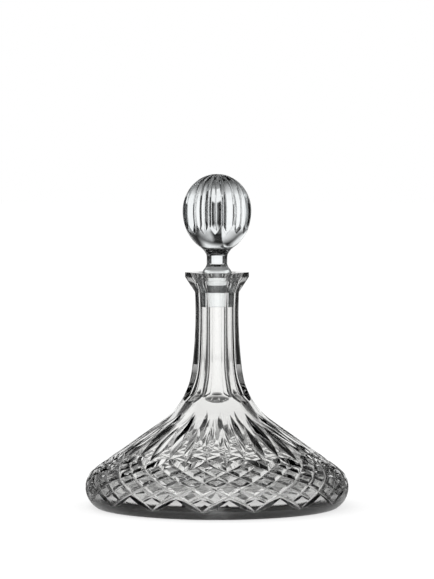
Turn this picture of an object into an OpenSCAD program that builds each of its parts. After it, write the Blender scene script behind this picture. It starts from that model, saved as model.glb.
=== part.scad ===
// Cut-crystal ship's decanter: a broad, low flask with a hexagonal neck,
// and a solid ball stopper ground to fit its mouth.
// Millimetres, +Z up, origin at the centre of the base on the table.
// The front faces -Y.

/* [Decanter size] */
// Widest diameter, at the heel
body_diameter = 200; // [160:1:240]
// Height of the widest point above the table
heel_height = 14.4; // [10:0.1:20]
// Radius of the rounded heel
heel_radius = 17.25; // [12:0.25:24]
// Slope of the shoulder above the horizontal, degrees
shoulder_slope = 35.5; // [28:0.5:45]
// Radius of the sweep from shoulder to neck
flare_radius = 54.4; // [35:0.1:75]
// Height of the rim above the table
rim_height = 177.5; // [160:0.5:220]

/* [Neck and rim] */
// Corner radius of the six-sided neck at its waist
waist_radius = 16.3; // [15.5:0.1:20]
// Drop from the rim to the neck's waist
waist_drop = 30.5; // [24:0.5:42]
// Radius of the long hollow curve of the neck
neck_sweep_radius = 340; // [250:5:450]
// Height of the rim's flare, below its upright band
rim_flare = 11.5; // [8:0.5:15]
// Corner radius of the six-sided rim
rim_radius = 24.2; // [22:0.1:28]
// Depth of the upright band round the rim
rim_band = 3.5; // [2:0.1:6]
// Number of flat panels round the neck
panel_count = 6; // [5:1:8]
// How far up the sweep of the shoulder the panels run out, degrees
panel_climb = 22.5; // [16:0.5:34]
// Height over which a panel's arched foot widens
panel_arch = 7; // [5:0.5:14]
// Angle of round glass left at each corner, degrees
corner_land = 3; // [1:0.5:6]

/* [Hollow] */
// Thickness of the glass under the wine
base_thickness = 10; // [7:0.5:14]
// Wall thickness at the shoulder
wall = 6; // [5:0.25:8]
// Radius inside the heel
inner_heel_radius = 8; // [5:0.5:10]
// Radius inside the sweep to the neck
inner_flare_radius = 60; // [45:1:75]
// Radius of the neck's bore
bore_radius = 10.2; // [8:0.1:11]
// Radius of the ground mouth at its top
mouth_radius = 12; // [11.2:0.1:14.4]
// Depth of the ground taper below the mouth's chamfer
taper_length = 23; // [16:0.5:30]
// Width and height of the chamfer inside the rim
mouth_chamfer = [3, 4];

/* [Cutting] */
// Number of repeats of the cut pattern round the body
repeats = 16; // [12:1:20]
// Turn of the cut pattern from the front, degrees
pattern_turn = -6.2; // [-11:0.1:11]
// Distance in from the heel to the foot of the long leaf cuts
leaf_inset = 26.5; // [22:0.5:34]
// How far up the sweep of the shoulder the long leaf cuts run, degrees
long_leaf_climb = 11; // [8:0.5:16]
// Radius of the wheel path of the long leaf cuts
long_leaf_wheel = 92; // [80:1:110]
// Half angle of the long leaf cuts' V, degrees
long_leaf_half_angle = 63; // [55:1:72]
// How much farther out the short leaf cuts start
short_leaf_out = 4.7; // [2:0.1:7]
// Distance from the tips of the short leaf cuts in to the shoulder's sweep
short_leaf_stop = 4.2; // [2:0.2:12]
// Radius of the wheel path of the short leaf cuts
short_leaf_wheel = 104; // [90:1:130]
// Half angle of the short leaf cuts' V, degrees
short_leaf_half_angle = 68; // [60:1:72]

/* [Stopper] */
// Radius of the ball at its widest
ball_radius = 26.2; // [22:0.1:32]
// Height of the ball's widest point above the rim
ball_rise = 46.5; // [42:0.1:56]
// Height of the ball's top half over its radius
ball_top_stretch = 1.07; // [0.9:0.01:1.2]
// Height of the ball's lower half over its radius
ball_under_stretch = 1.2; // [1:0.01:1.3]
// Radius of the stem at its narrowest
stem_radius = 7.8; // [6.5:0.1:9.5]
// Running gap between the ground peg and the mouth
peg_gap = 0.08; // [0.05:0.01:0.1]
// How far the peg stops short of the taper's end
peg_short = 1; // [0.5:0.1:4]
// Number of cuts round the ball
flute_count = 16; // [12:1:20]
// Turn of the ball's cuts from the front, degrees
flute_turn = -3.6; // [-11:0.1:11]
// Depth of the ball's cuts at its widest point
flute_depth = 1.5; // [0.8:0.05:2]
// Half angle of the ball's cuts, degrees
flute_half_angle = 73; // [66:1:76]
// Latitude of the ball where its cuts start at the top, degrees
flute_top = 76; // [70:1:84]
// Latitude of the tips of the ball's cuts, degrees
flute_tip = -31; // [-40:1:-20]

/* [Hidden] */

glass_colour = [0.86, 0.88, 0.88, 0.45];
front = -90;
$fn = 96;
over = 1;            // how far a cutting tool reaches past the glass
arc_step = 6;        // degrees per band of a small arc
sweep_step = 2.2;    // degrees per band of the neck's long curve
wide = 2;            // safe factor for reaching beyond the glass

// Blank: heel arc, straight shoulder, flare arc and neck arc, each tangent
// to the next.
body_radius = body_diameter / 2;
rim_lip = rim_height - rim_band;
rim_start = rim_lip - rim_flare;
waist_height = rim_height - waist_drop;
slope_out = 90 - shoulder_slope;
slope_normal = [cos(slope_out), sin(slope_out)];
heel_centre = [body_radius - heel_radius, heel_height];
slope_offset = heel_centre * slope_normal + heel_radius;
neck_centre = [waist_radius + neck_sweep_radius, waist_height];
flare_lean = slope_out - acos((neck_centre * slope_normal - slope_offset - flare_radius)
    / (neck_sweep_radius - flare_radius));
flare_centre = neck_centre
    - (neck_sweep_radius - flare_radius) * [cos(flare_lean), sin(flare_lean)];
heel_start = -asin(heel_height / heel_radius);
neck_end = asin((rim_start - waist_height) / neck_sweep_radius);

// Points along an arc, from one angle to another.
function arc(centre, radius, from, to, step) =
    let (steps = ceil(abs(to - from) / step))
    [for (i = [0 : steps]) let (a = from + (to - from) * i / steps)
        centre + radius * [cos(a), sin(a)]];

// Blank radius at a height on the flare, the neck and the rim.
function flare_r(z) = flare_centre.x - sqrt(pow(flare_radius, 2) - pow(z - flare_centre.y, 2));
function neck_r(z) = neck_centre.x - sqrt(pow(neck_sweep_radius, 2) - pow(z - neck_centre.y, 2));
function rim_r(z) = neck_r(rim_start)
    + (rim_radius - neck_r(rim_start)) * min(1, (z - rim_start) / (rim_lip - rim_start));
flare_top = flare_centre.y - flare_radius * sin(flare_lean);
function blank_r(z) = z < flare_top ? flare_r(z) : z < rim_start ? neck_r(z) : rim_r(z);
function slope_point(r) = [r, (slope_offset - r * slope_normal.x) / slope_normal.y];
function flare_point(climb) = flare_centre
    - flare_radius * [cos(slope_out - climb), sin(slope_out - climb)];
leaf_foot = body_radius - leaf_inset;
panel_foot = flare_point(panel_climb).y;

// A panel's face: full width above its arched foot, easing out below.
panel_ratio = cos(180 / panel_count - corner_land / 2);
function panel_r(z) = blank_r(z) * (panel_ratio
    + (1 - panel_ratio) * pow(max(0, panel_foot + panel_arch - z) / panel_arch, 2));

// Cavity: the same order of curves, set inside the blank.
cavity_offset = slope_offset - wall;
cavity_heel_z = base_thickness + inner_heel_radius;
cavity_heel = [(cavity_offset - inner_heel_radius - cavity_heel_z * slope_normal.y)
    / slope_normal.x, cavity_heel_z];
cavity_flare_r = bore_radius + inner_flare_radius;
cavity_flare = [cavity_flare_r, (cavity_offset + inner_flare_radius
    - cavity_flare_r * slope_normal.x) / slope_normal.y];
taper_top = rim_height - mouth_chamfer.y;
taper_foot = taper_top - taper_length;

// Centre of a wheel path of a given radius through two points, on the left
// of the way from the first to the second.
function wheel_centre(p, q, radius) =
    let (chord = q - p, half = norm(chord) / 2)
    (p + q) / 2 + sqrt(pow(radius, 2) - pow(half, 2)) * [-chord.y, chord.x] / norm(chord);

// A ring sector with a V edge, standing in the plane of the object's axis
// at one azimuth. The V points away from the ring's centre, or towards it.
module v_ring(azimuth, centre, radius, from, sweep, height, half_angle, inward = false)
{
    back = inward ? radius + height : radius - height;
    spread = height * tan(half_angle);
    rotate([0, 0, azimuth])
    translate([centre.x, 0, centre.y])
    rotate([90, 0, 0])
    rotate([0, 0, from])
    rotate_extrude(angle = sweep)
    polygon([[radius, 0], [back, spread], [back, -spread]]);
}

// A leaf: the V ring between two points of the blank, run a little past both.
leaf_height = 3.4;   // height of the tool above its own edge
leaf_past = 1.2;     // degrees the tool runs past each end
module leaf(azimuth, foot, tip, wheel, half_angle)
{
    centre = wheel_centre(tip, foot, wheel);
    from = atan2(tip.y - centre.y, tip.x - centre.x) - leaf_past;
    to = atan2(foot.y - centre.y, foot.x - centre.x) + leaf_past;
    v_ring(azimuth, centre, wheel, from, to - from, leaf_height, half_angle);
}

module blank()
{
    rotate_extrude()
    polygon(concat(
        [[0, 0]],
        arc(heel_centre, heel_radius, heel_start, slope_out, arc_step),
        arc(flare_centre, flare_radius, 180 + slope_out, 180 + flare_lean, arc_step),
        arc(neck_centre, neck_sweep_radius, 180 + flare_lean - sweep_step, 180 - neck_end, sweep_step),
        [[rim_radius, rim_lip], [rim_radius, rim_height], [0, rim_height]]));
}

module cavity()
{
    rotate_extrude()
    polygon(concat(
        [[0, base_thickness]],
        arc(cavity_heel, inner_heel_radius, -90, slope_out, arc_step * 2),
        arc(cavity_flare, inner_flare_radius, 180 + slope_out, 180, arc_step),
        [[bore_radius, taper_foot], [mouth_radius, taper_top],
         [mouth_radius + mouth_chamfer.x, rim_height],
         [mouth_radius + mouth_chamfer.x, rim_height + over], [0, rim_height + over]]));
}

// Flat panels of the neck and rim: one straight-sided tool per side.
panel_levels = 17;
module panel(azimuth)
{
    low = panel_foot - panel_arch / 4;
    high = rim_start;
    rotate([0, 0, azimuth])
    rotate([90, 0, 0])
    linear_extrude(height = rim_radius * wide, center = true)
    polygon(concat(
        [for (i = [0 : panel_levels]) let (z = low + (high - low) * i / panel_levels)
            [panel_r(z), z]],
        [[panel_ratio * rim_radius, rim_lip], [panel_ratio * rim_radius, rim_height + over],
         [rim_radius * wide, rim_height + over], [rim_radius * wide, low]]));
}

module decanter()
{
    color(glass_colour)
    difference()
    {
        blank();
        cavity();
        for (i = [0 : panel_count - 1])
            panel(front + 360 / panel_count * i);
        for (i = [0 : repeats - 1])
            leaf(front + pattern_turn + 360 / repeats * i,
                slope_point(leaf_foot), flare_point(long_leaf_climb),
                long_leaf_wheel, long_leaf_half_angle);
        for (i = [0 : repeats - 1])
            leaf(front + pattern_turn + 360 / repeats * (i + 0.5),
                slope_point(leaf_foot + short_leaf_out),
                slope_point(flare_point(0).x + short_leaf_stop),
                short_leaf_wheel, short_leaf_half_angle);
    }
}

// Stopper: an egg-shaped ball on a short waisted stem; the peg is the mouth's
// own taper less the running gap.
ball_z = rim_height + ball_rise;
peg_foot = taper_foot + peg_short;
function taper_r(z) = bore_radius + (mouth_radius - bore_radius) * (z - taper_foot) / taper_length;
function ball_point(latitude) = [ball_radius * cos(latitude), ball_z + ball_radius * sin(latitude)
    * (latitude < 0 ? ball_under_stretch : ball_top_stretch)];
ball_low = -61;      // latitude where the ball turns into the stem
ball_bands = 14;     // bands of the ball from there to the top
// Stem outline: how far it stands out from its narrowest, and how high
// above the rim.
stem_low = [stem_radius + 3.9, rim_height - 1];
stem_flare = [[3.6, 0], [2.8, 1.5], [1.7, 3], [0.7, 4.5], [0, 6.3], [0, 11.5],
    [0.4, 13.4], [1.6, 15.6], [3.4, 17.6]];

// Centre of the circle through three points of a plane.
function circle_centre(p, q, t) =
    let (a = q - p, b = t - p, d = 2 * (a.x * b.y - a.y * b.x))
    p + [b.y * (a * a) - a.y * (b * b), a.x * (b * b) - b.x * (a * a)] / d;

module stopper_blank()
{
    rotate_extrude()
    polygon(concat(
        [[0, peg_foot], [taper_r(peg_foot) - peg_gap, peg_foot],
         [taper_r(taper_top) - peg_gap, taper_top], stem_low],
        [for (step = stem_flare) [stem_radius + step.x, rim_height + step.y]],
        [for (i = [0 : ball_bands]) ball_point(ball_low + (90 - ball_low) * i / ball_bands)]));
}

// One cut of the ball, from near the top to a point on its lower half.
flute_height = 2.7;  // height of the tool above its own edge
module flute(azimuth)
{
    top = ball_point(flute_top);
    tip = ball_point(flute_tip);
    centre = circle_centre(top, ball_point(0) - [flute_depth, 0], tip);
    from = atan2(tip.y - centre.y, tip.x - centre.x) - leaf_past;
    to = atan2(top.y - centre.y, top.x - centre.x) + leaf_past;
    v_ring(azimuth, centre, norm(top - centre), from, to - from, flute_height,
        flute_half_angle, inward = true);
}

module stopper()
{
    color(glass_colour)
    difference()
    {
        stopper_blank();
        for (i = [0 : flute_count - 1])
            flute(front + flute_turn + 360 / flute_count * i);
    }
}

decanter();
stopper();
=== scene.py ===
import math

import bpy
import numpy as np
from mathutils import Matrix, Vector


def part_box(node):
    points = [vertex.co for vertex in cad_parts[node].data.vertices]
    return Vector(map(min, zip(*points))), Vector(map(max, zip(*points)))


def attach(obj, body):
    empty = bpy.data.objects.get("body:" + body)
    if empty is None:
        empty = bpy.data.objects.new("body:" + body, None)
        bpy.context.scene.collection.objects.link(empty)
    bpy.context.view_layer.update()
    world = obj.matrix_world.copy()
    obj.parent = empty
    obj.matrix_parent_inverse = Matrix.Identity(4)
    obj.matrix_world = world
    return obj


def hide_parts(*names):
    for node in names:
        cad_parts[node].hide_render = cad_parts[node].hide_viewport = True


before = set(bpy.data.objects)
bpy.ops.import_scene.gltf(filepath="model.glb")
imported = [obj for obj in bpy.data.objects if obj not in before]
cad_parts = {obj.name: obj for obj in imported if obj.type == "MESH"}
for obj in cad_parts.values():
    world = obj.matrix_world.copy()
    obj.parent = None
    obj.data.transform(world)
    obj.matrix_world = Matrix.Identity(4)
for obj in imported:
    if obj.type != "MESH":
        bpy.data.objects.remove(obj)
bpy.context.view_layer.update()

MM = 0.001
body_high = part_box("decanter")[1]
stopper_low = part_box("stopper")[0]

# ---------------------------------------------------------------------------
# Sizes of the blown blank, in millimetres. Heights are above the table.
# ---------------------------------------------------------------------------
# How far the looks stay inside the solid's box
BOX_INSET = 0.03
BODY_RADIUS = body_high[0] / MM - BOX_INSET
RIM_HEIGHT = body_high[2] / MM
PEG_FOOT = stopper_low[2] / MM

# Outside: heel, straight shoulder, sweep to the neck, long curve of the neck, rim
HEEL_HEIGHT = 14.4
HEEL_RADIUS = 17.25
SHOULDER_SLOPE = 35.5
FLARE_RADIUS = 54.4
WAIST_RADIUS = 16.3
WAIST_HEIGHT = 147.0
NECK_SWEEP = 340.0
RIM_START = 162.5
RIM_RADIUS = 24.2
RIM_BAND = 3.5

# Inside: chamber, sweep to the bore, ground taper and the chamfer at the mouth
BASE_THICKNESS = 10.0
WALL = 6.0
INNER_HEEL = 8.0
INNER_FLARE = 60.0
BORE_RADIUS = 10.2
MOUTH_RADIUS = 12.0
TAPER_LENGTH = 23.0
MOUTH_CHAMFER = (3.0, 4.0)

# Cutting of the body: sixteen repeats, turned a little from the front.
REPEATS = 16
PATTERN_TURN = -6.2
FRONT = -90.0
ROW_TOP_RADIUS = 73.5
ROW_FOOT_HEIGHT = 6.0
DIAGONAL_TURN = 2 * 360 / REPEATS

# Stopper: latitudes of the ball in degrees, the rest in millimetres
BALL_RADIUS = 26.2
BALL_RISE = 46.5
BALL_TOP_STRETCH = 1.07
BALL_UNDER_STRETCH = 1.2
BALL_LOW = -61.0
BALL_CROWN = 88.5
BALL_BANDS = 70
STEM_RADIUS = 7.8
# Stem outline: how far it stands out from its narrowest, and how high above the rim
STEM = [(3.9, -1.0), (3.6, 0.0), (2.8, 1.5), (1.7, 3.0), (0.7, 4.5), (0.0, 6.3), (0.0, 11.5),
        (0.4, 13.4), (1.6, 15.6), (3.4, 17.6)]
PEG_GAP = 0.08
FLUTES = 16
FLUTE_TURN = -3.6
FLUTE_TOP = 84.0
FLUTE_TIP = -33.0
FLUTE_MEET = -16.5
FLUTE_DEPTH = 3.7
FLUTE_ANGLE = 56.0
FLUTE_NOSE = 0.4
# How far a flute's track runs on past its tip
FLUTE_RUN_OUT = 0.4

# Neck panels
PANELS = 6
PANEL_LAND = 3.0
PANEL_FOOT = 80.4
PANEL_ARCH = 7.0
PANEL_HALF_WIDTH = 14.0
PANEL_WHEEL_REACH = 32.0

# Cuts of the body: heights of the leaves' ends, depth, half angle of the V in degrees,
# and radius of the wheel's nose. The lenses cover a share of a diagonal's length.
LONG_LEAF = {"foot": 42.5, "tip": 72.4, "depth": 2.3, "half_angle": 66.0}
SHORT_LEAF = {"foot": 39.3, "tip": 62.8, "depth": 1.9, "half_angle": 68.0}
LEAF_NOSE = 0.6
MAIN_DIAGONAL = {"depth": 1.6, "half_angle": 56.0, "nose": 0.8}
FINE_DIAGONAL = {"depth": 1.25, "half_angle": 56.0, "nose": 0.6, "begin": 0.13, "end": 0.88}
LENS_SHARE = 0.247
LENS_DEPTH = 2.3
LENS_HALF_ANGLE = 58.0
LENS_NOSE = 0.3

# Star under the base
STAR_POINTS = 2 * REPEATS
STAR_REACH = 84.0
STAR_DEPTH = 2.4
STAR_HALF_ANGLE = 60.0
STAR_NOSE = 0.3

# How far a tool's section stands clear of the glass
CLEAR = 0.5
DIAGONAL_CLEAR = 0.45

# Segments of the turned solids, and the angle above which an edge stays crisp
ROUND = 384
INNER_ROUND = 192
BALL_ROUND = 256
CRISP_EDGE = 12.0


# ---------------------------------------------------------------------------
# Outlines
# ---------------------------------------------------------------------------
def unit(v):
    v = np.asarray(v, float)
    return v / np.linalg.norm(v)


def direction(degrees):
    return np.array([math.cos(math.radians(degrees)), math.sin(math.radians(degrees))])


def arc(centre, radius, start, end, step):
    """Points of an arc, about step millimetres apart."""
    count = max(2, math.ceil(abs(math.radians(end - start)) * radius / step))
    return [centre + radius * direction(a) for a in np.linspace(start, end, count + 1)]


SLOPE_OUT = 90 - SHOULDER_SLOPE
SLOPE_NORMAL = direction(SLOPE_OUT)
HEEL_CENTRE = np.array([BODY_RADIUS - HEEL_RADIUS, HEEL_HEIGHT])
SLOPE_OFFSET = HEEL_CENTRE @ SLOPE_NORMAL + HEEL_RADIUS
NECK_CENTRE = np.array([WAIST_RADIUS + NECK_SWEEP, WAIST_HEIGHT])
FLARE_LEAN = SLOPE_OUT - math.degrees(math.acos(
    (NECK_CENTRE @ SLOPE_NORMAL - SLOPE_OFFSET - FLARE_RADIUS) / (NECK_SWEEP - FLARE_RADIUS)))
FLARE_CENTRE = NECK_CENTRE - (NECK_SWEEP - FLARE_RADIUS) * direction(FLARE_LEAN)
RIM_LIP = RIM_HEIGHT - RIM_BAND


def body_outline():
    heel_start = -math.degrees(math.asin(HEEL_HEIGHT / HEEL_RADIUS))
    neck_end = math.degrees(math.asin((RIM_START - WAIST_HEIGHT) / NECK_SWEEP))
    heel = arc(HEEL_CENTRE, HEEL_RADIUS, heel_start, SLOPE_OUT, 1.4)
    flare = arc(FLARE_CENTRE, FLARE_RADIUS, 180 + SLOPE_OUT, 180 + FLARE_LEAN, 1.8)
    neck = arc(NECK_CENTRE, NECK_SWEEP, 180 + FLARE_LEAN, 180 - neck_end, 4.0)
    slope = [heel[-1] + (flare[0] - heel[-1]) * t for t in np.linspace(0, 1, 13)]
    rim = [np.array([RIM_RADIUS, RIM_LIP]), np.array([RIM_RADIUS, RIM_HEIGHT])]
    return heel + slope[1:-1] + flare + neck[1:] + rim


def hollow_outline():
    offset = SLOPE_OFFSET - WALL
    heel_z = BASE_THICKNESS + INNER_HEEL
    heel = np.array([(offset - INNER_HEEL - heel_z * SLOPE_NORMAL[1]) / SLOPE_NORMAL[0], heel_z])
    flare_r = BORE_RADIUS + INNER_FLARE
    flare = np.array([flare_r, (offset + INNER_FLARE - flare_r * SLOPE_NORMAL[0]) / SLOPE_NORMAL[1]])
    taper_top = RIM_HEIGHT - MOUTH_CHAMFER[1]
    mouth = MOUTH_RADIUS + MOUTH_CHAMFER[0]
    return (arc(heel, INNER_HEEL, -90, SLOPE_OUT, 1.2)
            + arc(flare, INNER_FLARE, 180 + SLOPE_OUT, 180, 2.2)
            + [np.array(p) for p in ((BORE_RADIUS, taper_top - TAPER_LENGTH), (MOUTH_RADIUS, taper_top),
                                     (mouth, RIM_HEIGHT), (mouth, RIM_HEIGHT + 2))])


def taper_r(z):
    foot = RIM_HEIGHT - MOUTH_CHAMFER[1] - TAPER_LENGTH
    return BORE_RADIUS + (MOUTH_RADIUS - BORE_RADIUS) * (z - foot) / TAPER_LENGTH


def ball_point(latitude):
    stretch = BALL_UNDER_STRETCH if latitude < 0 else BALL_TOP_STRETCH
    return np.array([BALL_RADIUS, stretch * BALL_RADIUS]) * direction(latitude) \
        + np.array([0, RIM_HEIGHT + BALL_RISE])


def stopper_outline():
    taper_top = RIM_HEIGHT - MOUTH_CHAMFER[1]
    return ([np.array([taper_r(PEG_FOOT) - PEG_GAP, PEG_FOOT]),
             np.array([taper_r(taper_top) - PEG_GAP, taper_top])]
            + [np.array([STEM_RADIUS + out, RIM_HEIGHT + up]) for out, up in STEM]
            + [ball_point(a) for a in np.linspace(BALL_LOW, BALL_CROWN, BALL_BANDS)])


class Way:
    """A turned outline measured along itself, so that a cut can be laid on it."""

    def __init__(self, outline):
        points = np.array(outline)
        keep = np.r_[True, np.linalg.norm(np.diff(points, axis=0), axis=1) > 1e-6]
        self.points = points[keep]
        self.length = np.r_[0, np.cumsum(np.linalg.norm(np.diff(self.points, axis=0), axis=1))]

    def at_height(self, z):
        return float(np.interp(z, self.points[:, 1], self.length))

    def point(self, s):
        return np.array([np.interp(s, self.length, self.points[:, k]) for k in (0, 1)])

    def normal(self, s):
        run = self.point(s + 0.6) - self.point(s - 0.6)
        return unit([run[1], -run[0]])

    def place(self, s, azimuth, depth=0.0):
        """Point and outward normal in space, at a length along the outline and an azimuth."""
        turn = math.radians(azimuth)
        r, z = self.point(s) - depth * self.normal(s)
        nr, nz = self.normal(s)
        return (np.array([r * math.cos(turn), r * math.sin(turn), z]),
                np.array([nr * math.cos(turn), nr * math.sin(turn), nz]))


# ---------------------------------------------------------------------------
# Turning and cutting
# ---------------------------------------------------------------------------
def new_mesh(name, points, faces):
    mesh = bpy.data.meshes.new(name)
    mesh.from_pydata([tuple(float(c) * MM for c in p) for p in points], [], faces)
    mesh.update()
    made = bpy.data.objects.new(name, mesh)
    bpy.context.scene.collection.objects.link(made)
    return made


def turned(name, outline, segments):
    """A solid turned from an outline that runs up its outside."""
    turns = np.linspace(0, 2 * math.pi, segments, endpoint=False)
    points = [(0, 0, outline[0][1])]
    for r, z in outline:
        points += [(r * math.cos(a), r * math.sin(a), z) for a in turns]
    points.append((0, 0, outline[-1][1]))
    last = len(points) - 1
    faces = []
    for i in range(segments):
        j = (i + 1) % segments
        faces.append((0, 1 + j, 1 + i))
        for k in range(len(outline) - 1):
            low, high = 1 + k * segments, 1 + (k + 1) * segments
            faces.append((low + i, low + j, high + j, high + i))
        high = 1 + (len(outline) - 1) * segments
        faces.append((high + i, high + j, last))
    return new_mesh(name, points, faces)


def wheel_edge(depth, half_angle, clear, nose):
    """Section of a cutting wheel's edge: a V with a slightly rounded nose, from
    depth below the surface to clear above it. Pairs are (across, up)."""
    lean = math.radians(half_angle)
    side = nose * math.cos(lean)
    foot = -depth + nose * (1 - math.sin(lean))
    half = side + (clear - foot) * math.tan(lean)
    curve = [(nose * math.sin(a), -depth + nose * (1 - math.cos(a)))
             for a in np.linspace(-(math.pi / 2 - lean), math.pi / 2 - lean, 7)]
    return [(-half, clear)] + curve + [(half, clear)]


def swept(name, runs):
    """Closed tools: each run is a list of rings with the same number of points."""
    points, faces = [], []
    for rings in runs:
        base, n = len(points), len(rings[0])
        for ring in rings:
            points += list(ring)
        for k in range(len(rings) - 1):
            low, high = base + k * n, base + (k + 1) * n
            for i in range(n):
                j = (i + 1) % n
                faces.append((low + i, low + j, high + j, high + i))
        faces.append(tuple(base + i for i in reversed(range(n))))
        faces.append(tuple(base + (len(rings) - 1) * n + i for i in range(n)))
    return new_mesh(name, points, faces)


def groove(way, track, half_angle, clear, nose):
    """Rings of one cut. The track lists (length along the outline, azimuth, depth)."""
    rings = []
    places = [way.place(s, a) for s, a, _ in track]
    for k, (_, _, depth) in enumerate(track):
        at, up = places[k]
        run = places[min(k + 1, len(track) - 1)][0] - places[max(k - 1, 0)][0]
        across = unit(np.cross(up, run))
        room = 0.9 * max(0.02, depth + clear) / (1 - math.sin(math.radians(half_angle)))
        rings.append([at + across * u + up * v
                      for u, v in wheel_edge(depth, half_angle, clear, min(nose, room))])
    return rings


def grind(glass, tool):
    """Takes a tool away from the glass."""
    cutting = glass.modifiers.new("cut", "BOOLEAN")
    cutting.operation = "DIFFERENCE"
    cutting.solver = "MANIFOLD"
    cutting.object = tool
    graph = bpy.context.evaluated_depsgraph_get()
    cut = bpy.data.meshes.new_from_object(glass.evaluated_get(graph))
    glass.modifiers.clear()
    spent = [glass.data, tool.data]
    glass.data = cut
    bpy.data.objects.remove(tool)
    for mesh in spent:
        bpy.data.meshes.remove(mesh)


def polish(glass, edge_angle):
    """Smooth faces, with the edges of the cuts left crisp."""
    glass.data.shade_smooth()
    glass.data.set_sharp_from_angle(angle=math.radians(edge_angle))


# ---------------------------------------------------------------------------
# The decanter
# ---------------------------------------------------------------------------
def azimuth(k, phase=0.0):
    return FRONT + PATTERN_TURN + 360 / REPEATS * (k + phase)


def blank_r(z):
    if z < FLARE_CENTRE[1] - FLARE_RADIUS * math.sin(math.radians(FLARE_LEAN)):
        return FLARE_CENTRE[0] - math.sqrt(FLARE_RADIUS ** 2 - (z - FLARE_CENTRE[1]) ** 2)
    if z < RIM_START:
        return NECK_CENTRE[0] - math.sqrt(NECK_SWEEP ** 2 - (z - WAIST_HEIGHT) ** 2)
    start = NECK_CENTRE[0] - math.sqrt(NECK_SWEEP ** 2 - (RIM_START - WAIST_HEIGHT) ** 2)
    return start + (RIM_RADIUS - start) * min(1, (z - RIM_START) / (RIM_LIP - RIM_START))


def panels(glass):
    """Flat panels up the neck and round the rim, arched at the foot."""
    ratio = math.cos(math.radians(180 / PANELS - PANEL_LAND / 2))

    def face_r(z):
        return blank_r(z) * (ratio + (1 - ratio) * (max(0, PANEL_FOOT + PANEL_ARCH - z) / PANEL_ARCH) ** 2)

    low = PANEL_FOOT - PANEL_ARCH / 4
    heights = list(np.linspace(low, RIM_START, 46)) + [RIM_LIP, RIM_HEIGHT + 1]
    edge = [(face_r(z), z) for z in heights[:-1]] + [(ratio * RIM_RADIUS, RIM_HEIGHT + 1)]
    for first in (0, 1):
        runs = []
        for k in range(first, PANELS, 2):
            out = np.append(direction(FRONT + 360 / PANELS * k), 0)
            side = np.array([-out[1], out[0], 0])
            rings = []
            for r, z in edge:
                section = ((r, -PANEL_HALF_WIDTH), (PANEL_WHEEL_REACH, -PANEL_HALF_WIDTH),
                           (PANEL_WHEEL_REACH, PANEL_HALF_WIDTH), (r, PANEL_HALF_WIDTH))
                rings.append([out * d + side * w + np.array([0, 0, z]) for d, w in section])
            runs.append(rings)
        grind(glass, swept("panel_wheel", runs))


def leaf(way, turn, shape):
    """A leaf-shaped cut: deepest half way along, running out at both ends."""
    foot = way.at_height(shape["foot"])
    tip = way.at_height(shape["tip"])
    track = []
    for t in np.linspace(-0.02, 1.02, 36):
        track.append((foot + (tip - foot) * t, turn, shape["depth"] * 4 * t * (1 - t)))
    return groove(way, track, shape["half_angle"], CLEAR, LEAF_NOSE)


def diagonal(way, turn, hand, top, foot, shape):
    """One slanting cut down the shoulder and round the heel."""
    begin = shape.get("begin", 0.0)
    end = shape.get("end", 1.0)
    track = []
    for t in np.linspace(begin, end, 44):
        ease = min(1.0, 8 * (t - begin) / (end - begin) + 0.15, 8 * (end - t) / (end - begin) + 0.15)
        track.append((top + (foot - top) * t, turn + hand * DIAGONAL_TURN * t, shape["depth"] * ease))
    return groove(way, track, shape["half_angle"], DIAGONAL_CLEAR, shape["nose"])


def lens(way, turn, hand, top, foot):
    """A short lens-shaped cut over the upper end of a diagonal."""
    track = []
    for t in np.linspace(-0.003, LENS_SHARE + 0.003, 24):
        u = max(-0.02, t / LENS_SHARE)
        track.append((top + (foot - top) * t, turn + hand * DIAGONAL_TURN * t,
                      LENS_DEPTH * 4 * u * (1 - u)))
    return groove(way, track, LENS_HALF_ANGLE, CLEAR, LENS_NOSE)


def cut_body(glass):
    way = Way(body_outline())
    row = way.at_height((SLOPE_OFFSET - ROW_TOP_RADIUS * SLOPE_NORMAL[0]) / SLOPE_NORMAL[1])
    foot = way.at_height(ROW_FOOT_HEIGHT)
    panels(glass)
    grind(glass, swept("long_leaves", [leaf(way, azimuth(k), LONG_LEAF) for k in range(REPEATS)]))
    grind(glass, swept("short_leaves", [leaf(way, azimuth(k, 0.5), SHORT_LEAF) for k in range(REPEATS)]))
    for hand in (1, -1):
        grind(glass, swept("main_diagonals", [
            diagonal(way, azimuth(k), hand, row, foot, MAIN_DIAGONAL) for k in range(REPEATS)]))
    for hand in (1, -1):
        grind(glass, swept("fine_diagonals", [
            diagonal(way, azimuth(k, 0.5), hand, row, foot, FINE_DIAGONAL) for k in range(REPEATS)]))
    for hand in (1, -1):
        grind(glass, swept("top_lenses", [lens(way, azimuth(k), hand, row, foot) for k in range(REPEATS)]))


def star(glass):
    """The star cut under the base: straight cuts running out from the middle."""
    for first in (0, 1):
        runs = []
        for k in range(first, STAR_POINTS, 2):
            out = np.append(direction(azimuth(0) + 360 / STAR_POINTS * k), 0)
            side = np.array([-out[1], out[0], 0])
            rings = []
            for t in np.linspace(0.04, 1.0, 24):
                depth = STAR_DEPTH * min(1.0, 1.9 * t, 4.0 * (1.02 - t))
                rings.append([out * STAR_REACH * t + side * u - np.array([0, 0, v])
                              for u, v in wheel_edge(depth, STAR_HALF_ANGLE, CLEAR, STAR_NOSE)])
            runs.append(rings)
        grind(glass, swept("star_wheel", runs))


def make_decanter():
    glass = turned("cut_decanter", body_outline(), ROUND)
    grind(glass, turned("hollow", hollow_outline(), INNER_ROUND))
    cut_body(glass)
    star(glass)
    polish(glass, CRISP_EDGE)
    return glass


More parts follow.
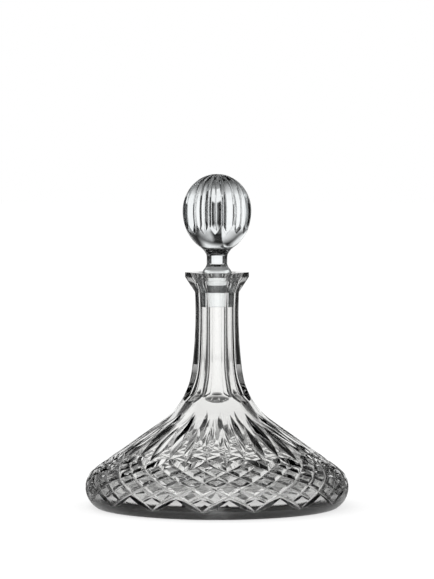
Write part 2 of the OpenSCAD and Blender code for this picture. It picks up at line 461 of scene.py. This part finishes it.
# ---------------------------------------------------------------------------
# The stopper
# ---------------------------------------------------------------------------
def make_stopper():
    outline = stopper_outline()
    glass = turned("ball_stopper", outline, BALL_ROUND)
    way = Way(outline)
    top = way.at_height(ball_point(FLUTE_TOP)[1])
    tip = way.at_height(ball_point(FLUTE_TIP)[1])
    meet = way.at_height(ball_point(FLUTE_MEET)[1])
    for first in (0, 1):
        runs = []
        for k in range(first, FLUTES, 2):
            track = []
            for s in np.linspace(tip - FLUTE_RUN_OUT, top, 60):
                full = FLUTE_DEPTH * (way.point(s)[0] / BALL_RADIUS) ** 1.6
                u = max(0.0, (meet - s) / (meet - tip))
                track.append((s, FRONT + FLUTE_TURN + 360 / FLUTES * k, full * (1 - u * u)))
            runs.append(groove(way, track, FLUTE_ANGLE, CLEAR, FLUTE_NOSE))
        grind(glass, swept("flutes", runs))
    polish(glass, CRISP_EDGE)
    return glass


# ---------------------------------------------------------------------------
# Materials
# ---------------------------------------------------------------------------
def linear(code):
    """An sRGB hex colour as linear red, green, blue and alpha."""
    parts = [int(code[i:i + 2], 16) / 255 for i in (1, 3, 5)]
    return tuple(c / 12.92 if c <= 0.04045 else ((c + 0.055) / 1.055) ** 2.4 for c in parts) + (1.0,)


def add(tree, kind, settings=(), links=()):
    """One node. Settings go on its sockets or properties; links join other nodes' sockets to it.
    A socket is named, or numbered where several share a name."""
    node = tree.nodes.new(kind)
    for key, value in dict(settings).items():
        if isinstance(key, int) or key in node.inputs:
            node.inputs[key].default_value = value
        else:
            setattr(node, key, value)
    for key, socket in dict(links).items():
        tree.links.new(socket, node.inputs[key])
    return node


CRYSTAL_IOR = 1.545
WAVE_PER_METRE = 90.0
WAVE_HEIGHT = 0.06 * MM
EDGE_ROUNDING = 0.5 * MM
HEEL_GRIND = 0.3


def lead_crystal(name, tint):
    """Lead crystal, blown, wheel-cut and acid-polished: clear and bright, with the faint
    waviness that polishing leaves. Acid rounds every edge of the cuts a little, which draws
    them as bright lines. The foot of the heel is left slightly ground."""
    made = bpy.data.materials.new(name)
    made.use_nodes = True
    tree = made.node_tree
    tree.nodes.clear()
    place = add(tree, "ShaderNodeTexCoord").outputs["Object"]
    wave = add(tree, "ShaderNodeTexNoise", {"Scale": WAVE_PER_METRE, "Detail": 2.0}, {"Vector": place})
    softened = add(tree, "ShaderNodeBevel", {"samples": 6, "Radius": EDGE_ROUNDING})
    relief = add(tree, "ShaderNodeBump", {"Strength": 0.25, "Distance": WAVE_HEIGHT},
                 {"Height": wave.outputs["Fac"], "Normal": softened.outputs["Normal"]})
    haze = add(tree, "ShaderNodeMapRange",
               {"From Min": 0.35, "From Max": 0.75, "To Min": 0.0, "To Max": 0.02},
               {"Value": wave.outputs["Fac"]})
    height = add(tree, "ShaderNodeSeparateXYZ", links={"Vector": place})
    ground = add(tree, "ShaderNodeMapRange",
                 {"From Min": 6.0 * MM, "From Max": 8.5 * MM, "To Min": HEEL_GRIND, "To Max": 0.0},
                 {"Value": height.outputs["Z"]})
    dull = add(tree, "ShaderNodeMath", {"operation": "MAXIMUM"},
               {0: haze.outputs["Result"], 1: ground.outputs["Result"]})
    glass = add(tree, "ShaderNodeBsdfPrincipled",
                {"Base Color": linear(tint), "IOR": CRYSTAL_IOR, "Transmission Weight": 1.0},
                {"Roughness": dull.outputs["Value"], "Normal": relief.outputs["Normal"]})
    add(tree, "ShaderNodeOutputMaterial", links={"Surface": glass.outputs["BSDF"]})
    return made


# ---------------------------------------------------------------------------
# Stage. Lengths in metres, turns in degrees from straight behind the object.
# ---------------------------------------------------------------------------
WHITE = (1, 1, 1, 1)
FLOOR_SIZE = 24.0
FLOOR_DROP = 0.0004
FLOOR_GREY = (0.32, 0.32, 0.32, 1)
FLOOR_LIFT = 0.7

# The tent's white and its side strips glow by emission: painted light, not lamps. Its black is dark cloth.
TENT_REACH = 0.47
TENT_DOOR = 19
TENT_HEAD = 0.56
LINTEL_FOOT = 0.36
LINTEL_HEAD = 1.1
TENT_PARTS = 48
TENT_SHADE = 0.012
STRIP_GLOW = 0.8

SOFTBOX_SIDE = 0.8
SOFTBOX_POWER = 4.0
SOFTBOX_PLACE = (-0.6, 0.2, 1.4)
SOFTBOX_AIM = (0, 0, 0.12)

CAMERA_SENSOR = 36.0
CAMERA_LENS = 191.6
CAMERA_PLACE = (0.0, -2.335, 0.2745)
CAMERA_AIM = (0.0, 0.0, 0.1644)


def plain_surface(name):
    """A material with an empty node tree, to be built up."""
    made = bpy.data.materials.new(name)
    made.use_nodes = True
    made.node_tree.nodes.clear()
    return made, made.node_tree


def cloth_piece(name, cloth, corners, faces):
    """A piece of the tent: the glass sees it, the camera and the floor do not."""
    mesh = bpy.data.meshes.new(name)
    mesh.from_pydata(corners, [], faces)
    made = bpy.data.objects.new(name, mesh)
    bpy.context.scene.collection.objects.link(made)
    mesh.materials.append(cloth)
    made.visible_camera = False
    made.visible_diffuse = False
    made.visible_shadow = False
    return made


def curved_cloth(name, cloth, start, end, low, high):
    """Cloth hung round the object, from one azimuth to another."""
    corners = []
    for a in np.linspace(start, end, TENT_PARTS + 1):
        x, y = TENT_REACH * direction(a)
        corners += [(x, y, low), (x, y, high)]
    faces = [(2 * i, 2 * i + 2, 2 * i + 3, 2 * i + 1) for i in range(TENT_PARTS)]
    return cloth_piece(name, cloth, corners, faces)


def tent_cloth():
    """The cloth round the object glows by emission, a painted light that stands in for lamps behind it,
    and is black elsewhere, with soft edges: white by the opening behind, a narrow painted strip of light at
    each side, and white towards the front as if open there."""
    tent, tree = plain_surface("painted_glow_tent")
    smooth = {"interpolation_type": "SMOOTHSTEP"}
    place = add(tree, "ShaderNodeNewGeometry").outputs["Position"]
    at = add(tree, "ShaderNodeSeparateXYZ", links={"Vector": place}).outputs

    across = add(tree, "ShaderNodeMath", {"operation": "ABSOLUTE"}, {0: at["X"]})
    bearing = add(tree, "ShaderNodeMath", {"operation": "ARCTAN2"}, {0: across.outputs["Value"], 1: at["Y"]})
    turn = add(tree, "ShaderNodeMath", {"operation": "MULTIPLY", 1: 180 / math.pi},
               {0: bearing.outputs["Value"]}).outputs["Value"]

    # The painted glow round the opening behind is wider near the floor.
    wider = add(tree, "ShaderNodeMapRange",
                smooth | {"From Min": 0.115, "From Max": 0.165, "To Min": 13.0, "To Max": 0.0},
                {"Value": at["Z"]})
    past = add(tree, "ShaderNodeMath", {"operation": "SUBTRACT"}, {0: turn, 1: wider.outputs["Result"]})
    behind = add(tree, "ShaderNodeMapRange",
                 smooth | {"From Min": 20.0, "From Max": 27.0, "To Min": 1.0, "To Max": 0.0},
                 {"Value": past.outputs["Value"]})

    # A narrow painted strip of light at each side: the cloth glows there, no lamp lights it.
    off_side = add(tree, "ShaderNodeMath", {"operation": "SUBTRACT", 1: 90.0}, {0: turn})
    off_side = add(tree, "ShaderNodeMath", {"operation": "ABSOLUTE"}, {0: off_side.outputs["Value"]})
    beside = add(tree, "ShaderNodeMapRange",
                 smooth | {"From Min": 5.0, "From Max": 12.0, "To Min": STRIP_GLOW, "To Max": 0.0},
                 {"Value": off_side.outputs["Value"]})

    # Painted glow towards the front, white as if the tent were open there.
    before = add(tree, "ShaderNodeMapRange",
                 smooth | {"From Min": 140.0, "From Max": 155.0, "To Min": 0.0, "To Max": 1.0},
                 {"Value": turn})

    # Painted glow of the cloth: behind, at the sides and towards the front.
    painted_glow_mask = add(tree, "ShaderNodeMath", {"operation": "MAXIMUM"},
              {0: beside.outputs["Result"], 1: before.outputs["Result"]})
    painted_glow_mask = add(tree, "ShaderNodeMath", {"operation": "MAXIMUM"},
              {0: behind.outputs["Result"], 1: painted_glow_mask.outputs["Value"]})
    under_roof = add(tree, "ShaderNodeMapRange",
                     smooth | {"From Min": 0.33, "From Max": 0.45, "To Min": 1.0, "To Max": 0.0},
                     {"Value": at["Z"]})
    painted_glow_mask = add(tree, "ShaderNodeMath", {"operation": "MULTIPLY"},
              {0: painted_glow_mask.outputs["Value"], 1: under_roof.outputs["Result"]})

    # Painted light at the top corner at the back, on the left: the cloth glows there, no lamp shines through
    # it.
    on_left = add(tree, "ShaderNodeMapRange",
                  smooth | {"From Min": -0.12, "From Max": 0.02, "To Min": 1.0, "To Max": 0.0},
                  {"Value": at["X"]})
    at_back = add(tree, "ShaderNodeMapRange",
                  smooth | {"From Min": 0.05, "From Max": 0.25, "To Min": 0.0, "To Max": 1.0},
                  {"Value": at["Y"]})
    at_top = add(tree, "ShaderNodeMapRange",
                 smooth | {"From Min": 0.40, "From Max": 0.50, "To Min": 0.0, "To Max": 1.0},
                 {"Value": at["Z"]})
    painted_corner_light = add(tree, "ShaderNodeMath", {"operation": "MULTIPLY"},
                 {0: on_left.outputs["Result"], 1: at_back.outputs["Result"]})
    painted_corner_light = add(tree, "ShaderNodeMath", {"operation": "MULTIPLY"},
                 {0: painted_corner_light.outputs["Value"], 1: at_top.outputs["Result"]})

    glow = add(tree, "ShaderNodeMath", {"operation": "MAXIMUM"},
               {0: painted_glow_mask.outputs["Value"], 1: painted_corner_light.outputs["Value"]})
    glow = add(tree, "ShaderNodeMath", {"operation": "ADD", 1: TENT_SHADE}, {0: glow.outputs["Value"]})
    glow = add(tree, "ShaderNodeMath", {"operation": "MINIMUM", 1: 1.0}, {0: glow.outputs["Value"]})
    # Emission: the cloth glows as painted light, no lamp lights it.
    cloth = add(tree, "ShaderNodeEmission", {"Color": WHITE}, {"Strength": glow.outputs["Value"]})
    add(tree, "ShaderNodeOutputMaterial", links={"Surface": cloth.outputs["Emission"]})
    return tent


def white_paper():
    """Matt white paper. What the glass reflects and refracts of it is a painted glow: painted shade near the
    object, white farther off, and a painted pool of light under the base."""
    paper, tree = plain_surface("white_paper")
    sight = add(tree, "ShaderNodeLightPath").outputs
    matt = add(tree, "ShaderNodeBsdfDiffuse", {"Color": FLOOR_GREY})
    lift = add(tree, "ShaderNodeMath", {"operation": "MULTIPLY", 1: FLOOR_LIFT}, {0: sight["Is Camera Ray"]})
    glow = add(tree, "ShaderNodeEmission", {"Color": WHITE}, {"Strength": lift.outputs["Value"]})
    seen = add(tree, "ShaderNodeAddShader", links={0: matt.outputs["BSDF"], 1: glow.outputs["Emission"]})

    place = add(tree, "ShaderNodeNewGeometry").outputs["Position"]
    reach = add(tree, "ShaderNodeVectorMath", {"operation": "LENGTH"}, {0: place})
    # Painted shade: the glass sees the paper grey near the object and white farther off.
    painted_shade_ramp = add(tree, "ShaderNodeMapRange",
                 {"From Min": 0.30, "From Max": 0.75, "To Min": 0.15, "To Max": 1.0},
                 {"Value": reach.outputs["Value"]})
    # Painted pool of light under the base.
    under = add(tree, "ShaderNodeMapRange",
                {"From Min": 0.085, "From Max": 0.13, "To Min": 0.55, "To Max": 0.0},
                {"Value": reach.outputs["Value"]})
    total = add(tree, "ShaderNodeMath", {"operation": "ADD"},
                {0: painted_shade_ramp.outputs["Result"], 1: under.outputs["Result"]})
    # Emission for the glass's reflection and refraction rays only: painted shade and painted light, not
    # lamplight on the paper.
    painted_floor_glow = add(tree, "ShaderNodeEmission", {"Color": WHITE}, {"Strength": total.outputs["Value"]})

    clear = add(tree, "ShaderNodeMath", {"operation": "MAXIMUM"},
                {0: sight["Is Glossy Ray"], 1: sight["Is Transmission Ray"]})
    pick = add(tree, "ShaderNodeMixShader",
               links={0: clear.outputs["Value"], 1: seen.outputs["Shader"], 2: painted_floor_glow.outputs["Emission"]})
    add(tree, "ShaderNodeOutputMaterial", links={"Surface": pick.outputs["Shader"]})
    return paper


def make_world():
    world = bpy.data.worlds.new("studio")
    bpy.context.scene.world = world
    world.use_nodes = True
    tree = world.node_tree
    tree.nodes.clear()
    sky = add(tree, "ShaderNodeBackground", {"Color": WHITE, "Strength": 1.0})
    add(tree, "ShaderNodeOutputWorld", links={"Surface": sky.outputs["Background"]})


def make_floor():
    bpy.ops.mesh.primitive_plane_add(size=FLOOR_SIZE, location=(0, 0, -FLOOR_DROP))
    floor = bpy.context.object
    floor.name = "floor"
    floor.data.materials.append(white_paper())


def make_tent():
    """A wall round the object with a door behind it, a lintel over the door, and a roof."""
    cloth = tent_cloth()
    door_start = 90 - TENT_DOOR
    door_end = 90 + TENT_DOOR
    curved_cloth("tent_wall", cloth, door_end, 360 + door_start, 0.0, TENT_HEAD)
    curved_cloth("tent_lintel", cloth, door_start, door_end, LINTEL_FOOT, LINTEL_HEAD)
    round_wall = range(door_start, door_end - 361, -TENT_DOOR)
    corners = [tuple(TENT_REACH * direction(a)) + (TENT_HEAD,) for a in round_wall]
    cloth_piece("tent_roof", cloth, corners, [tuple(range(len(corners)))])


def make_softbox():
    lamp = bpy.data.lights.new("softbox", "AREA")
    lamp.shape = "RECTANGLE"
    lamp.size = SOFTBOX_SIDE
    lamp.size_y = SOFTBOX_SIDE
    lamp.energy = SOFTBOX_POWER
    softbox = bpy.data.objects.new("softbox", lamp)
    bpy.context.scene.collection.objects.link(softbox)
    softbox.location = SOFTBOX_PLACE
    softbox.rotation_euler = (Vector(SOFTBOX_AIM) - softbox.location).to_track_quat("-Z", "Y").to_euler()


def make_camera():
    data = bpy.data.cameras.new("camera")
    data.sensor_width = CAMERA_SENSOR
    data.lens = CAMERA_LENS
    data.clip_start = 0.05
    data.clip_end = 50.0
    camera = bpy.data.objects.new("camera", data)
    bpy.context.scene.collection.objects.link(camera)
    camera.location = CAMERA_PLACE
    camera.rotation_euler = (Vector(CAMERA_AIM) - camera.location).to_track_quat("-Z", "Y").to_euler()
    bpy.context.scene.camera = camera


decanter = make_decanter()
decanter.data.materials.clear()
decanter.data.materials.append(lead_crystal("body_lead_crystal", "#FEFEFD"))
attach(decanter, "decanter")
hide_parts("decanter")

stopper = make_stopper()
stopper.data.materials.clear()
stopper.data.materials.append(lead_crystal("stopper_lead_crystal", "#F9FCFD"))
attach(stopper, "stopper")
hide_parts("stopper")

make_world()
make_floor()
make_tent()
make_softbox()
make_camera()
bpy.context.scene.view_settings.view_transform = "Standard"

bpy.context.view_layer.update()
for piece in (decanter, stopper):
    print(piece.name, "triangles", sum(len(p.vertices) - 2 for p in piece.data.polygons))
